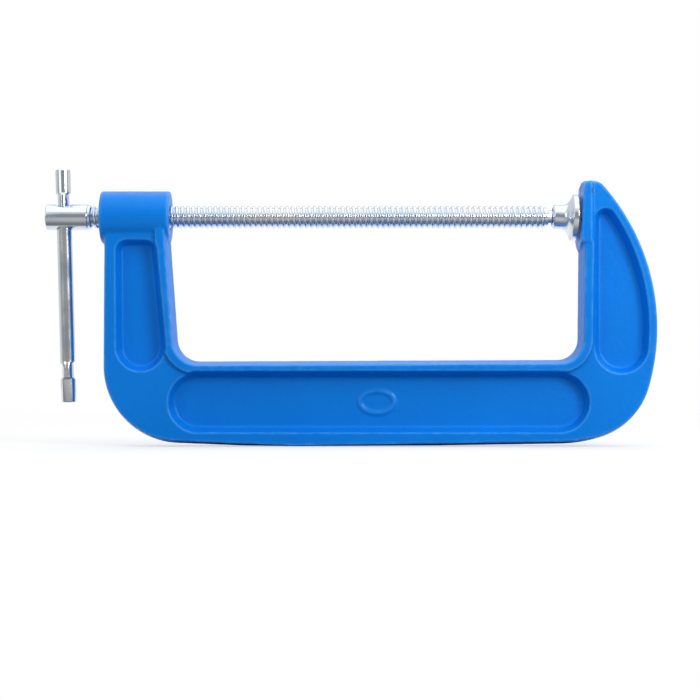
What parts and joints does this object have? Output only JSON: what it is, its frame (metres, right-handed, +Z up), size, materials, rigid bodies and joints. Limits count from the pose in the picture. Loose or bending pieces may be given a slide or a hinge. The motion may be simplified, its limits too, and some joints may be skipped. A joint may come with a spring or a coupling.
{
  "type": "c clamp",
  "caption": "Cast C-shaped clamp frame with a threaded spindle, a sliding tommy bar through its head, and a bell-shaped swivel pad facing the anvil.",
  "frame": {"origin": "bottom centre of the whole clamp, on the ground flat of the frame's back", "axes": "+X along the screw from its head towards the anvil, +Z up from the frame's back to the screw, +Y through the clamp's thickness"},
  "size_m": [0.248, 0.0212, 0.1121],
  "materials": {
    "frame_enamel": "bright blue gloss enamel over an as-cast surface",
    "zinc_spindle": "bright zinc plated steel, rolled thread",
    "zinc_bar": "bright zinc plated steel rod with crimped ends",
    "zinc_pad": "bright zinc plated turned steel"
  },
  "bodies": {
    "frame": {"frame": "frame_enamel"},
    "swivel_pad": {"swivel_pad": "zinc_pad"},
    "spindle": {"spindle": "zinc_spindle"},
    "tommy_bar": {"tommy_bar": "zinc_bar"}
  },
  "joints": [
    {"name": "screw_travel", "type": "slide", "parent": "frame", "child": "swivel_pad", "axis": [1, 0, 0], "range_m": [-0.1512, 0.00084]},
    {"name": "screw_turn", "type": "hinge", "parent": "swivel_pad", "child": "spindle", "pos_m": [0, 0, 0.0927], "axis": [1, 0, 0], "range_deg": [-24300, 135]},
    {"name": "bar_slide", "type": "slide", "parent": "spindle", "child": "tommy_bar", "axis": [-0.0262, 0, 0.9997], "range_m": [0, 0.0555]}
  ],
  "couplings": [
    {"joint": "screw_travel", "follows": "screw_turn", "m_per_rad": 0.00035651}
  ]
}
